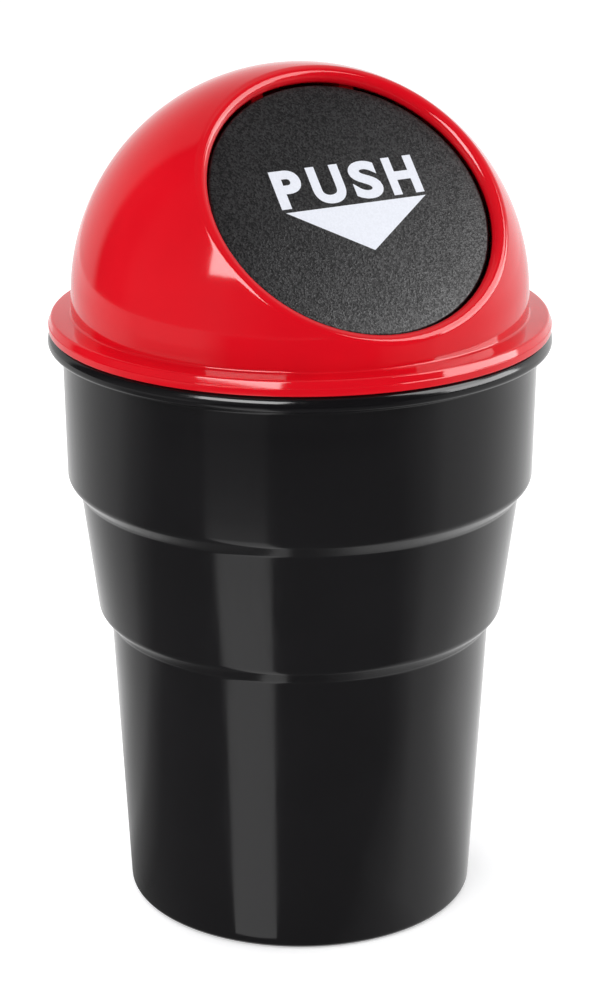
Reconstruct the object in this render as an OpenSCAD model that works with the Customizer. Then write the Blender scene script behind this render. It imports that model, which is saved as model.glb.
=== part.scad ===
// Small bin with a stepped, tapered cup and a domed lid whose tilted round flap is pushed in.
// Millimetres. Origin: centre of the base, on the surface it stands on. +Z is up and -Y is the
// side that the flap faces. The bin is symmetric about the YZ plane.

/* [Cup] */
// Outer diameter of the cup's rim and of the lid's flange
rim_d = 88; // [80:0.5:100]
// Height of the cup, from the floor it stands on to the top of its rim
cup_h = 105.8; // [96:0.2:130]
// Wall thickness of the cup
cup_wall = 1.6; // [1.2:0.1:2]
// Thickness of the cup's floor
floor_t = 1.8; // [1.4:0.1:3]
// How much narrower the base is than the top of the lowest section, on the radius
low_taper = 2.75; // [1.5:0.05:4]

/* [Steps] */
// Height of the lower step's foot above the base
low_step_z = 52; // [44:0.5:54]
// Height of the upper step's foot above the base
high_step_z = 76.6; // [72:0.2:82]
// How far each step widens the cup, measured on the radius
step_out = 2.2; // [1.6:0.1:2.6]
// Height of the sloping part of each step
step_rise = 2.6; // [2:0.1:3.4]
// Radius of each step's outer corner
step_round = 2; // [1.2:0.1:2.4]

/* [Rim] */
// Height of the bead round the cup's rim
bead_h = 2.6; // [1.8:0.1:3.2]
// How far the bead stands out from the cup's wall
bead_out = 2.5; // [2:0.1:3]

/* [Lid] */
// Width of the flange outside the dome
flange_w = 4.15; // [3.4:0.05:4.6]
// Wall thickness of the lid
lid_wall = 1.6; // [1.2:0.1:2]
// Height of the dome's centre above the cup's rim
dome_rise = 5.7; // [5.4:0.1:9]
// Depth of the collar that hangs inside the cup's mouth
spigot_h = 5.4; // [3:0.1:8]
// Radial clearance between that collar and the cup
spigot_gap = 0.25; // [0.15:0.05:0.5]
// Height of the flange's outer edge
flange_edge_h = 2.6; // [2.2:0.1:3.4]
// How far the flange's edge stays inside the cup's rim
flange_in = 0.15; // [0:0.05:0.4]

/* [Opening] */
// Elevation of the opening's axis above the horizontal, in degrees
opening_elev = 45; // [44:1:50]
// Diameter of the opening, in per cent of the dome's
opening_pc = 63; // [54:1:63]
// Radius of the rounded lip round the opening
lip_round = 1.5; // [1:0.1:1.8]
// Wall thickness of the collar behind the lip, which the flap's stops meet
lip_wall = 1.2; // [1:0.05:1.6]

/* [Flap] */
// Gap all round between the flap and the opening
flap_gap = 0.4; // [0.35:0.05:0.8]
// Depth of the flap's face below the start of the lip's curve
flap_sink = 0.45; // [0.3:0.05:1]
// Thickness of the flap's face
flap_t = 1.6; // [1.2:0.1:2]
// Depth of the stiffening skirt behind the face
skirt_h = 1.6; // [1:0.1:2.4]
// Angle that the flap swings in, from shut to its stop
swing = 70; // [40:1:70]

/* [Hinge] */
// Distance of the hinge pin in from the opening's edge
pin_inset = 5; // [4.8:0.1:7]
// Diameter of the hinge pin
pin_d = 2; // [1.6:0.1:2.2]
// Radial clearance of the pin in the flap's ears
pin_play = 0.05; // [0.03:0.01:0.1]
// Thickness of each ear on the flap
ear_t = 2; // [1.4:0.1:2.4]
// Thickness of each lug on the lid
lug_t = 2.4; // [1.8:0.1:3]

/* [Spring] */
// Wire diameter of the torsion spring
wire_d = 0.6; // [0.5:0.05:0.7]
// Number of coils round the pin
coils = 5; // [3:1:6]
// Distance from coil to coil
coil_pitch = 1.05; // [1.05:0.01:1.2]
// Length of the leg that presses on the flap
flap_leg = 10; // [6:0.5:14]

/* [Hidden] */
$fn = 128;

rim_r = rim_d / 2;
dome_r = rim_r - flange_w;
bore_r = dome_r * opening_pc / 100;
pin_r = pin_d / 2;
hair = 0.02;         // overshoot that keeps a curve from only grazing its neighbour
run_gap = 0.15;      // clearance between the flap and what it moves past

// Cup: the wall's radius at each height, from the base up
top_r = rim_r - bead_out;
top_taper = 0.4;
mid_taper = 2.8;
top_low_r = top_r - top_taper;
mid_top_r = top_low_r - step_out;
mid_low_r = mid_top_r - mid_taper;
low_top_r = mid_low_r - step_out;
base_r = low_top_r - low_taper;
step_skew = cup_wall * tan(atan2(step_out, step_rise) / 2);
bead_z = cup_h - bead_h;
bead_fillet = 0.8;                      // rise of the fillet under the bead
bead_round = min(1.7, 0.65 * bead_h);   // rounding of the bead's top
bead_under = min(0.9, 0.34 * bead_h);   // rounding of its lower edge
foot_w = 4;                             // width of the ring that the bin stands on
foot_r = base_r - foot_w;
foot_recess = 1;
foot_slope = 0.6;

// Lid
dome_z = cup_h + dome_rise;
dome_in_r = dome_r - lid_wall;
spigot_r = top_r - cup_wall - spigot_gap;
flange_slope = 3.5;
edge_r = rim_r - flange_in;
edge_band_h = 1.25;                     // height of the straight band at the foot of the flange's edge
edge_step = 0.12;                       // step in above that band, where the mould parts
edge_lean = 0.4;                        // how far the rest of the edge leans in
edge_top_r = edge_r - edge_step - edge_lean;
flange_root_z = cup_h + flange_edge_h + (edge_top_r - dome_r) * tan(flange_slope);
lip_r = bore_r + lip_round;
lip_z = sqrt(pow(dome_r - lip_round, 2) - pow(lip_r, 2));
lip_angle = atan2(lip_r, lip_z);
collar_r = lip_r + lip_wall;            // the collar stands back from the opening by the lip's round
lug_foot = 3;                           // depth of a lug below the pin's axis
lug_reach = 6;                          // how far that foot stays away from the pin

// Flap, in the opening's own frame: x across, y up along the face, z outwards
flap_r = bore_r - flap_gap;
face_z = lip_z - flap_sink;
back_z = face_z - flap_t;
skirt_t = 1.2;
edge_round = 0.5;
coil_gap = 0.35;                        // between the spring's coils and the pin
hinge_drop = pin_r + coil_gap + wire_d + run_gap; // from the back of the face to the pin's axis
pin_z = back_z - hinge_drop;
pin_y = bore_r - pin_inset;
boss_r = hinge_drop - run_gap;
spring_half = 5;                        // half the room between the ears
side_gap = 0.3;                         // between each ear and its lug
lug_x = spring_half + ear_t + side_gap;
sunk = 0.2;                             // how far a lug's outline runs into the collar
lug_wall_y = sqrt(pow(lip_r, 2) - pow(lug_x, 2)) + sunk;
pin_half = lug_x + lug_t + 0.5;
cut_half = pin_half + 2;
notch_y = pin_y - 4;
stop_lap = 0.85;                        // how far the tab reaches under the collar
stop_t = 1.2;
stop_angle = 16;
heel_w = 1.4;
heel_lap = 0.8;                         // how far the heel reaches under the collar at the stop
heel_tip = [
    sqrt(pow(lip_r, 2) - pow(spring_half + ear_t, 2)) - pin_y + heel_lap,
    hinge_drop - run_gap
];

// Spring
coil_r = pin_r + coil_gap + wire_d / 2;
ring_steps = 8;
wire_sides = 6;
fixed_leg_angle = 80;                   // where on the coil the leg that bears on the dome leaves it
leg_start = [pin_y, pin_z] + coil_r * [cos(fixed_leg_angle), sin(fixed_leg_angle)];
leg_dir = [sin(fixed_leg_angle), -cos(fixed_leg_angle)];
leg_end_r = dome_in_r - wire_d / 2 - run_gap;
leg_along = leg_start * leg_dir;
fixed_leg = sqrt(pow(leg_along, 2) - leg_start * leg_start + pow(leg_end_r, 2)) - leg_along;
turn = 360 * coils + 90 - fixed_leg_angle;
coil_l = coil_pitch * turn / 360;

function unit(v) = v / norm(v);
function shortest(a) = a > 180 ? a - 360 : a < -180 ? a + 360 : a;
function angle_of(v) = atan2(v[1], v[0]);

// Arc that rounds the corner q, between its neighbours p and s, with radius r
function corner_arc(p, q, s, r, steps) =
    let (
        a = unit(p - q),
        b = unit(s - q),
        half = acos(a * b) / 2,
        centre = q + unit(a + b) * r / sin(half),
        from = angle_of(q + a * r / tan(half) - centre),
        sweep = shortest(angle_of(q + b * r / tan(half) - centre) - from)
    )
    [for (i = [0 : steps])
        let (w = from + sweep * i / steps)
        centre + r * [cos(w), sin(w)]];

// Closed outline through corners given as [x, y, rounding radius]
function rounded(corners, steps = 6) =
    let (n = len(corners), at = [for (c = corners) [c[0], c[1]]])
    [for (i = [0 : n - 1])
        let (r = corners[i][2])
        each (r == 0 ? [at[i]] : corner_arc(at[(i + n - 1) % n], at[i], at[(i + 1) % n], r, steps))];

// The cup's outside, from the centre of its base up to its rim
cup_outside = [
    [0, foot_recess, 0],
    [foot_r - foot_slope, foot_recess, 0.5],
    [foot_r, 0, 0.4],
    [base_r, 0, 1.5],
    [low_top_r, low_step_z, 1],
    [mid_low_r, low_step_z + step_rise, step_round],
    [mid_top_r, high_step_z, 1],
    [top_low_r, high_step_z + step_rise, step_round],
    [top_r, bead_z - bead_fillet, 0.6],
    [rim_r, bead_z, bead_under],
    [rim_r, cup_h, bead_round]
];

// The cup's inside, from its mouth down to its floor, one wall in from the outside
cup_inside = [
    [top_r - cup_wall, cup_h, 0.5],
    [top_low_r - cup_wall, high_step_z + step_rise + step_skew, 0.5],
    [mid_top_r - cup_wall, high_step_z + step_skew, 2.6],
    [mid_low_r - cup_wall, low_step_z + step_rise + step_skew, 0.5],
    [low_top_r - cup_wall, low_step_z + step_skew, 2.6],
    [base_r - cup_wall, floor_t, 2.4],
    [0, floor_t, 0]
];

// The lid below the dome's centre: collar, flange and the foot of the dome
lid_ring = [
    [dome_in_r, cup_h - spigot_h, 0.3],
    [spigot_r, cup_h - spigot_h, 0.5],
    [spigot_r, cup_h, 0],
    [edge_r, cup_h, 0.3],
    [edge_r, cup_h + edge_band_h, 0.1],
    [edge_r - edge_step, cup_h + edge_band_h + edge_step, 0],
    [edge_top_r, cup_h + flange_edge_h, 0.5],
    [dome_r, flange_root_z, 0.4],
    [dome_r, dome_z, 0],
    [dome_in_r, dome_z, 0]
];

module on_opening() {
    translate([0, 0, dome_z]) rotate([90 - opening_elev, 0, 0]) children();
}

module across(length) {
    rotate([90, 0, 90]) linear_extrude(length, center = true) children();
}

module mirrored_pair(x) {
    for (side = [-1, 1]) translate([side * x, 0, 0]) children();
}

// Hemisphere of radius r that stands on the dome's centre plane
module half_ball(r) {
    intersection() {
        translate([0, 0, dome_z]) sphere(r);
        translate([-rim_r, -rim_r, dome_z]) cube([rim_d, rim_d, rim_r]);
    }
}

// What is cut away to open the dome, which leaves the lip's round
module opening_cutter() {
    outer = (dome_r + 3) * [sin(lip_angle), cos(lip_angle)];
    rotate_extrude() difference() {
        polygon([
            [0, back_z - run_gap / 2],
            [lip_r, back_z - run_gap / 2],
            [lip_r, lip_z],
            outer,
            [outer[0], dome_r + 1],
            [0, dome_r + 1]
        ]);
        translate([lip_r, lip_z]) circle(lip_round + hair);
    }
}

// Lug inside the lid that holds one end of the hinge pin, seen along the pin
module lug_outline() {
    difference() {
        union() {
            translate([pin_y, pin_z]) circle(boss_r);
            polygon([
                [pin_y, pin_z + boss_r],
                [lug_wall_y, pin_z + boss_r],
                [lug_wall_y, back_z + 1],
                [dome_in_r, back_z + 1],
                [dome_in_r, pin_z - lug_foot],
                [pin_y + lug_reach, pin_z - lug_foot],
                [pin_y, pin_z - boss_r]
            ]);
        }
        translate([pin_y, pin_z]) circle(pin_r + hair);
    }
}

// Ear on the back of the flap with its bore, and the heel that meets the lip's collar at the stop
module ear_outline() {
    difference() {
        union() {
            translate([pin_y, pin_z]) circle(boss_r);
            translate([pin_y - boss_r, pin_z]) square([2 * boss_r, hinge_drop + flap_t / 2]);
            translate([pin_y, pin_z]) rotate(angle_of(heel_tip) - swing)
                translate([0, -heel_w]) square([norm(heel_tip), heel_w]);
        }
        translate([pin_y, pin_z]) circle(pin_r + pin_play);
    }
}

module cup() {
    color("#222123") rotate_extrude() polygon(rounded(concat(cup_outside, cup_inside)));
}

module lid_dome() {
    color("#d8131f") difference() {
        union() {
            difference() {
                half_ball(dome_r);
                translate([0, 0, dome_z]) sphere(dome_in_r);
            }
            rotate_extrude() polygon(rounded(lid_ring));
            intersection() {
                on_opening() {
                    translate([0, 0, back_z]) cylinder(h = lip_z + lip_round - back_z, r = collar_r);
                    mirrored_pair(lug_x + lug_t / 2) across(lug_t) lug_outline();
                }
                translate([0, 0, dome_z]) sphere(dome_r - lid_wall / 2);
            }
        }
        on_opening() opening_cutter();
    }
}

module push_flap() {
    plate = [
        [0, back_z, 0],
        [flap_r - skirt_t, back_z, 0],
        [flap_r - skirt_t, back_z - skirt_h, 0.3],
        [flap_r, back_z - skirt_h, 0.3],
        [flap_r, face_z, edge_round],
        [0, face_z, 0]
    ];
    color("#3b3b3e") on_opening() {
        difference() {
            rotate_extrude() polygon(rounded(plate));
            translate([-cut_half, notch_y, back_z - skirt_h - 1])
                cube([2 * cut_half, flap_r, skirt_h + 1]);
        }
        mirrored_pair(spring_half + ear_t / 2) across(ear_t) ear_outline();
        rotate([0, 0, -90 - stop_angle]) rotate_extrude(angle = 2 * stop_angle)
            translate([flap_r - skirt_t / 2, back_z - run_gap - stop_t])
                square([lip_r + stop_lap - flap_r + skirt_t / 2, stop_t]);
    }
}

module hinge_pin() {
    color("#c6c8ca") on_opening() translate([0, pin_y, pin_z])
        rotate([0, 90, 0]) cylinder(h = 2 * pin_half, r = pin_r, center = true);
}

// Centre line of the spring's wire: fixed leg, coils round the pin, leg on the flap
function coil_point(a) =
    [(a - fixed_leg_angle) / turn * coil_l - coil_l / 2, coil_r * cos(a), coil_r * sin(a)];
function coil_dir(a) = [0, -sin(a), cos(a)];
coil_rings = ring_steps * coils;
wire_path = concat(
    [coil_point(fixed_leg_angle) - fixed_leg * coil_dir(fixed_leg_angle)],
    [for (i = [0 : coil_rings]) coil_point(fixed_leg_angle + turn * i / coil_rings)],
    [coil_point(fixed_leg_angle + turn) + flap_leg * coil_dir(fixed_leg_angle + turn)]
);

// One unbroken tube of the given radius along a path that never runs along x
function tube_dir(path, i) = unit(path[min(i + 1, len(path) - 1)] - path[max(i - 1, 0)]);
function tube_ring(path, i, r) =
    let (
        t = tube_dir(path, i),
        a = unit([1, 0, 0] - t[0] * t),
        b = cross(t, a)
    )
    [for (k = [0 : wire_sides - 1])
        let (w = 360 * k / wire_sides)
        path[i] + r * (a * cos(w) + b * sin(w))];

module tube(path, r) {
    last = (len(path) - 1) * wire_sides;
    points = [for (i = [0 : len(path) - 1]) each tube_ring(path, i, r)];
    walls = [
        for (i = [0 : len(path) - 2], k = [0 : wire_sides - 1])
            let (
                a = i * wire_sides + k,
                b = i * wire_sides + (k + 1) % wire_sides
            )
            each [[a, b, b + wire_sides], [a, b + wire_sides, a + wire_sides]]
    ];
    ends = [
        for (k = [1 : wire_sides - 2])
            each [[0, k + 1, k], [last, last + k, last + k + 1]]
    ];
    polyhedron(points, concat(walls, ends));
}

module return_spring() {
    color("#d0d2d4") on_opening() translate([0, pin_y, pin_z]) tube(wire_path, wire_d / 2);
}

wire_gap = min([
    for (i = [0 : len(wire_path) - 1], j = [i + 4 : 1 : len(wire_path) - 1])
        norm(wire_path[i] - wire_path[j]) - wire_d
]);
echo(spring_gap_mm = wire_gap);
echo(height_mm = dome_z + dome_r);
echo(hinge_y_mm = -pin_z * cos(opening_elev) + pin_y * sin(opening_elev));
echo(hinge_z_mm = dome_z + pin_z * sin(opening_elev) + pin_y * cos(opening_elev));
echo(base_r_mm = base_r, low_top_r_mm = low_top_r, mid_low_r_mm = mid_low_r);

cup();
lid_dome();
push_flap();
hinge_pin();
return_spring();
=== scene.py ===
"""Looks of a small push top bin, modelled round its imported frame.

Metres, +Z up, and the flap faces -Y. The opening has its own axes: x across, y up along its face
and z outwards. Each piece is drawn round the Z axis and then turned and moved to its place.
"""

import math

import bpy
from mathutils import Matrix, Vector


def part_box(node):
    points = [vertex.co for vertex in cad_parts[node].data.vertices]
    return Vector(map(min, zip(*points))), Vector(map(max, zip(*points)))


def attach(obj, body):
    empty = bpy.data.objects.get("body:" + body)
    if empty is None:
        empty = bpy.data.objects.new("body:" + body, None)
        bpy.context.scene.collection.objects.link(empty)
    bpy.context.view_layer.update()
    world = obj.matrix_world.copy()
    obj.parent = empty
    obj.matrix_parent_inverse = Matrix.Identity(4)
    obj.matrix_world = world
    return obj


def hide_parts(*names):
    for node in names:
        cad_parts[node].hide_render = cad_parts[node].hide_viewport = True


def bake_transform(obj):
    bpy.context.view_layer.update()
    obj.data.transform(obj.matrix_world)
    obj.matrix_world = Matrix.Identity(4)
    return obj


bl_info = {
    "name": "Push Top Bin",
    "version": (1, 0, 0),
    "blender": (4, 5, 0),
    "location": "3D View > Sidebar > Push Bin",
    "description": "Models and shades a small bin with a domed lid and a flap that is pushed in",
    "category": "Add Mesh",
}

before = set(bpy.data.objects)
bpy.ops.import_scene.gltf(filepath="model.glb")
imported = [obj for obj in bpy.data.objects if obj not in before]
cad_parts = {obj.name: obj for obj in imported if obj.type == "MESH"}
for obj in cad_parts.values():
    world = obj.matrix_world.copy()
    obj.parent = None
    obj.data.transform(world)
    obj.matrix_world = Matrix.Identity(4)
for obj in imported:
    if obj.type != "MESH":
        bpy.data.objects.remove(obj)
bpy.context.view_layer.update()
MM = 0.001
CUP_LOW, CUP_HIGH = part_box("cup")
LID_LOW, LID_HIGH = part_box("lid_dome")
PIN_LOW, PIN_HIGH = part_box("hinge_pin")
RIM_R = CUP_HIGH.x
CUP_H = CUP_HIGH.z
AROUND = 256  # steps in a full turn of the large round forms
CLEAR = 0.02 * MM  # keeps the faces of joined forms off each other's planes
PIN_R = 1 * MM
HELD_R = 1.02 * MM  # bore of the lugs, which hold the pin
FREE_R = 1.05 * MM  # bore of the ears, which turn on it
SIDE_GAP = 0.3 * MM  # between each ear and the lug beside it
HINGE_GAP = 0.15 * MM  # between the bosses round the pin and the back of the flap
SWING = math.radians(70)  # of the flap, from shut to fully in


def size(name, text, value, low=0.0, high=0.2):
    """A length that the sidebar shows, given in millimetres."""
    return bpy.props.FloatProperty(
        name=name, description=text, default=value * MM, min=low, max=high,
        precision=5, subtype="DISTANCE", unit="LENGTH",
    )


def share(name, text, value, high=1.0):
    """A plain number from 0 up that the sidebar shows."""
    return bpy.props.FloatProperty(name=name, description=text, default=value, min=0.0, max=high)


def angle(name, text, degrees):
    """An angle that the sidebar shows, given in degrees."""
    return bpy.props.FloatProperty(
        name=name, description=text, default=math.radians(degrees),
        subtype="ANGLE", unit="ROTATION",
    )


def colour(name, text, code):
    """A colour that the sidebar shows, given as an sRGB hex value."""
    return bpy.props.FloatVectorProperty(
        name=name, description=text, default=linear(code)[:3],
        size=3, min=0.0, max=1.0, subtype="COLOR",
    )


def linear(code):
    """Turns an sRGB hex value into the linear colour that a shader takes."""
    channels = [int(code[i:i + 2], 16) / 255 for i in (1, 3, 5)]
    return (*[c / 12.92 if c <= 0.04045 else ((c + 0.055) / 1.055) ** 2.4 for c in channels], 1.0)


class CupSizes(bpy.types.PropertyGroup):
    """Sizes of the stepped cup."""

    wall: size("Wall", "Thickness of the cup's wall", 1.6)
    floor: size("Floor", "Thickness of the cup's floor", 1.8)
    low_step: size("Lower step", "Height of the lower step's foot", 52)
    high_step: size("Upper step", "Height of the upper step's foot", 76.6)
    step_out: size("Step width", "How far each step widens the cup, on the radius", 2.2)
    step_rise: size("Step height", "Height of the sloping part of each step", 2.6)
    step_round: size("Step rounding", "Radius of each step's outer corner", 2)
    low_taper: size("Lower taper", "How much the lowest section narrows, on the radius", 2.75)
    mid_taper: size("Middle taper", "How much the middle section narrows, on the radius", 2.8)
    top_taper: size("Upper taper", "How much the top section narrows, on the radius", 0.4)
    bead_h: size("Bead height", "Height of the bead round the rim", 2.6)
    bead_out: size("Bead width", "How far the bead stands out from the wall", 2.5)
    foot_w: size("Foot width", "Width of the ring that the bin stands on", 4)
    recess: size("Recess", "Depth of the hollow inside that ring", 1)


class LidSizes(bpy.types.PropertyGroup):
    """Sizes of the domed lid and its opening."""

    wall: size("Wall", "Thickness of the lid's wall", 1.6)
    flange_w: size("Flange width", "Width of the flange outside the dome", 4.15)
    flange_h: size("Flange edge", "Height of the flange's outer edge", 2.6)
    flange_in: size("Flange inset", "How far the flange's edge stays inside the cup's rim", 0.15)
    band_h: size("Edge band", "Height of the straight band at the foot of that edge", 1.25)
    band_step: size("Band step", "Step in above that band, where the mould parts", 0.12)
    lean: size("Edge lean", "How far the rest of the edge leans in", 0.4)
    flange_slope: angle("Flange slope", "Slope of the flange's top", 3.5)
    rise: size("Dome rise", "Height of the dome's centre above the cup's rim", 5.7)
    spigot_h: size("Collar depth", "Depth of the collar inside the cup's mouth", 5.4)
    spigot_gap: size("Collar gap", "Radial clearance between that collar and the cup", 0.25)
    elevation: angle("Opening tilt", "Elevation of the opening's axis", 45)
    opening: share("Opening", "Diameter of the opening as a share of the dome's", 0.63)
    lip: size("Lip", "Radius of the rounded lip", 1.5)
    backing: size("Backing", "Wall thickness of the collar behind the lip", 1.2)


class FlapSizes(bpy.types.PropertyGroup):
    """Sizes of the flap, its print, its pin and its spring."""

    gap: size("Gap", "Gap between the flap and the opening", 0.4)
    sink: size("Sink", "Depth of the flap's face below the start of the lip", 0.45)
    face: size("Face", "Thickness of the flap's face", 1.6)
    skirt_h: size("Skirt depth", "Depth of the skirt behind the face", 1.6)
    skirt_t: size("Skirt wall", "Wall thickness of the skirt", 1.2)
    edge: size("Edge", "Rounding of the flap's edge", 0.5)
    hinge_drop: size("Hinge drop", "From the back of the face to the pin's axis", 2.1)
    pin_inset: size("Pin inset", "Distance of the pin in from the opening's edge", 5)
    room: size("Spring room", "Half the room between the ears", 5)
    ear: size("Ear", "Thickness of each ear", 2)
    lug: size("Lug", "Thickness of each lug on the lid", 2.4)
    wire: size("Wire", "Diameter of the spring's wire", 0.6)
    coils: bpy.props.IntProperty(
        name="Coils", description="Coils round the pin", default=5, min=2, max=6)
    pitch: size("Coil pitch", "Distance from coil to coil", 1.05)
    leg: size("Leg", "Length of the leg that presses on the flap", 10)
    letters: size("Letter height", "Height of the printed letters", 7.43)


class Finishes(bpy.types.PropertyGroup):
    """Colours of the mouldings, the print and the steel."""

    red: colour("Lid red", "Red of the lid", "#d60c1c")
    black: colour("Cup black", "Black of the cup", "#111012")
    charcoal: colour("Flap black", "Black of the grained flap", "#141315")
    white: colour("Print white", "White of the printed word", "#e2e5ee")
    steel: colour("Steel", "Colour of the pin", "#b9bbbd")
    wire: colour("Spring steel", "Colour of the spring", "#c9cbcd")
    floor: colour("Floor", "Pale floor that the bin stands on", "#f6f6f7")


GROUPS = {"bin_cup": CupSizes, "bin_lid": LidSizes, "bin_flap": FlapSizes, "bin_finish": Finishes}


# Outlines --------------------------------------------------------------------------------------

def arc(corner, before, after, radius, steps):
    """Points that round a corner between its two neighbours."""
    q = Vector(corner)
    a = (Vector(before) - q).normalized()
    b = (Vector(after) - q).normalized()
    half = a.angle(b) / 2
    centre = q + (a + b).normalized() * radius / math.sin(half)
    start = q + a * radius / math.tan(half) - centre
    sweep = start.angle_signed(q + b * radius / math.tan(half) - centre)
    turns = [Matrix.Rotation(-sweep * i / steps, 2) for i in range(steps + 1)]
    return [centre + turn @ start for turn in turns]


def rounded(corners, closed=False, steps=10):
    """Outline through corners given as (radius, height, rounding)."""
    points = []
    last = len(corners) - 1
    for i, (r, z, bend) in enumerate(corners):
        end = not closed and i in (0, last)
        if bend == 0 or end:
            points.append(Vector((r, z)))
        else:
            before = corners[i - 1][:2]
            after = corners[(i + 1) % len(corners)][:2]
            points += arc((r, z), before, after, bend, steps)
    return points


def refined(points, longest):
    """The outline with points added, so that no stretch of it is longer than that."""
    fine = [points[0]]
    for a, b in zip(points, points[1:]):
        cuts = max(1, math.ceil((b - a).length / longest))
        fine += [a.lerp(b, i / cuts) for i in range(1, cuts + 1)]
    return fine


# Modelling -------------------------------------------------------------------------------------

def deselect():
    """Leaves object mode with nothing selected."""
    if bpy.context.mode != "OBJECT":
        bpy.ops.object.mode_set(mode="OBJECT")
    bpy.ops.object.select_all(action="DESELECT")


def activate(piece):
    """Selects one object alone."""
    deselect()
    piece.select_set(True)
    bpy.context.view_layer.objects.active = piece


def named(name):
    """Gives the object just made its name."""
    piece = bpy.context.object
    piece.name = name
    piece.data.name = name
    return piece


def tidy_faces(piece, merge=0.002 * MM):
    """Closes seams and poles, and turns all faces outwards."""
    activate(piece)
    bpy.ops.object.mode_set(mode="EDIT")
    bpy.ops.mesh.select_all(action="SELECT")
    bpy.ops.mesh.remove_doubles(threshold=merge)
    bpy.ops.mesh.dissolve_degenerate(threshold=merge)
    bpy.ops.mesh.normals_make_consistent(inside=False)
    bpy.ops.object.mode_set(mode="OBJECT")
    return piece


def lathe(name, points, closed=False, steps=AROUND):
    """Draws an outline from one vertex, point by point, and spins it once round the Z axis."""
    deselect()
    first = Vector((0, -points[0].x, points[0].y))
    bpy.ops.mesh.primitive_plane_add(size=MM, location=(0, 0, 0))
    piece = named(name)
    bpy.ops.object.mode_set(mode="EDIT")
    bpy.ops.mesh.select_all(action="SELECT")
    bpy.ops.mesh.merge(type="CENTER")
    bpy.ops.transform.translate(value=first)
    for a, b in zip(points, points[1:]):
        step = Vector((0, a.x - b.x, b.y - a.y))
        bpy.ops.mesh.extrude_vertices_move(TRANSFORM_OT_translate={"value": step})
    bpy.ops.mesh.select_all(action="SELECT")
    if closed:
        # Only the two ends are selected, so that an edge joins them and no face fills the outline
        bpy.ops.object.mode_set(mode="OBJECT")
        select_only(piece)
        for end in (0, len(points) - 1):
            piece.data.vertices[end].select = True
        bpy.ops.object.mode_set(mode="EDIT")
        bpy.ops.mesh.edge_face_add()
        bpy.ops.mesh.select_all(action="SELECT")
    bpy.ops.mesh.spin(steps=steps, angle=2 * math.pi, center=(0, 0, 0), axis=(0, 0, 1))
    bpy.ops.object.mode_set(mode="OBJECT")
    return tidy_faces(piece)


def place(piece, matrix):
    """Turns and moves a piece to its place, and leaves its object at the origin."""
    activate(piece)
    piece.matrix_world = matrix @ piece.matrix_world
    bpy.ops.object.transform_apply(location=True, rotation=True, scale=True)
    return piece


def boolean(piece, other, operation):
    """Unites a piece with another, or cuts the other out of it, and removes the other."""
    activate(piece)
    modifier = piece.modifiers.new(operation.title(), "BOOLEAN")
    modifier.operation = operation
    modifier.object = other
    modifier.solver = "EXACT"
    bpy.ops.object.modifier_apply(modifier=modifier.name)
    bpy.data.objects.remove(other)
    return piece


def smooth(piece, degrees=35):
    """Smooth shading that keeps edges sharper than the angle."""
    activate(piece)
    bpy.ops.object.shade_smooth_by_angle(angle=math.radians(degrees))
    return piece


def block(name, low, high, bevel=0.0):
    """A box between two corners, with its edges bevelled."""
    deselect()
    low, high = Vector(low), Vector(high)
    bpy.ops.mesh.primitive_cube_add(size=1, location=(low + high) / 2)
    piece = named(name)
    piece.scale = high - low
    bpy.ops.object.transform_apply(location=True, rotation=True, scale=True)
    if bevel:
        bpy.ops.object.mode_set(mode="EDIT")
        bpy.ops.mesh.select_all(action="SELECT")
        bpy.ops.mesh.bevel(offset=bevel, segments=2, affect="EDGES")
        bpy.ops.object.mode_set(mode="OBJECT")
    return piece


def rod(name, radius, length, middle, steps=64):
    """A cylinder along X."""
    deselect()
    bpy.ops.mesh.primitive_cylinder_add(
        vertices=steps, radius=radius, depth=length, location=middle, rotation=(0, math.pi / 2, 0))
    piece = named(name)
    bpy.ops.object.transform_apply(location=True, rotation=True, scale=True)
    return piece


def slab(name, corners, offset):
    """A flat outline, given by its corners, drawn out to a thickness."""
    deselect()
    bpy.ops.mesh.primitive_circle_add(vertices=len(corners), radius=MM, fill_type="NGON")
    piece = named(name)
    for v, corner in zip(piece.data.vertices, corners):
        v.co = corner
    bpy.ops.object.mode_set(mode="EDIT")
    bpy.ops.mesh.select_all(action="SELECT")
    bpy.ops.mesh.extrude_region_move(TRANSFORM_OT_translate={"value": offset})
    bpy.ops.object.mode_set(mode="OBJECT")
    return tidy_faces(piece)


def select_only(piece, faces=(), edges=()):
    """Selects some of a mesh's faces or edges, given by number, and nothing else of it."""
    for kind in (piece.data.vertices, piece.data.edges, piece.data.polygons):
        kind.foreach_set("select", [False] * len(kind))
    for number in faces:
        piece.data.polygons[number].select = True
    for number in edges:
        piece.data.edges[number].select = True


def finish_piece(piece, body, node, material):
    """Rides a piece on its body, gives it what it is made of, and hides the imported part that it
    stands for.
    """
    piece.data.materials.clear()
    piece.data.materials.append(material)
    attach(piece, body)
    if node:
        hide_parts(node)
    return piece


# The opening's own frame -----------------------------------------------------------------------

class Opening:
    """Radii and heights about the opening, measured from the dome's centre along its axis."""

    def __init__(self, scene):
        lid, flap = scene.bin_lid, scene.bin_flap
        self.dome_z = CUP_H + lid.rise
        self.dome_r = RIM_R - lid.flange_w
        self.inner_r = self.dome_r - lid.wall
        self.bore_r = self.dome_r * lid.opening
        self.lip_r = self.bore_r + lid.lip
        self.lip_z = math.sqrt((self.dome_r - lid.lip) ** 2 - self.lip_r ** 2)
        self.lip_angle = math.atan2(self.lip_r, self.lip_z)
        self.collar_r = self.lip_r + lid.backing
        self.face_z = self.lip_z - flap.sink
        self.back_z = self.face_z - flap.face
        self.flap_r = self.bore_r - flap.gap
        self.pin_y = self.bore_r - flap.pin_inset
        self.pin_z = self.back_z - flap.hinge_drop
        tilt = Matrix.Rotation(math.pi / 2 - lid.elevation, 4, "X")
        self.matrix = Matrix.Translation((0, 0, self.dome_z)) @ tilt


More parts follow.
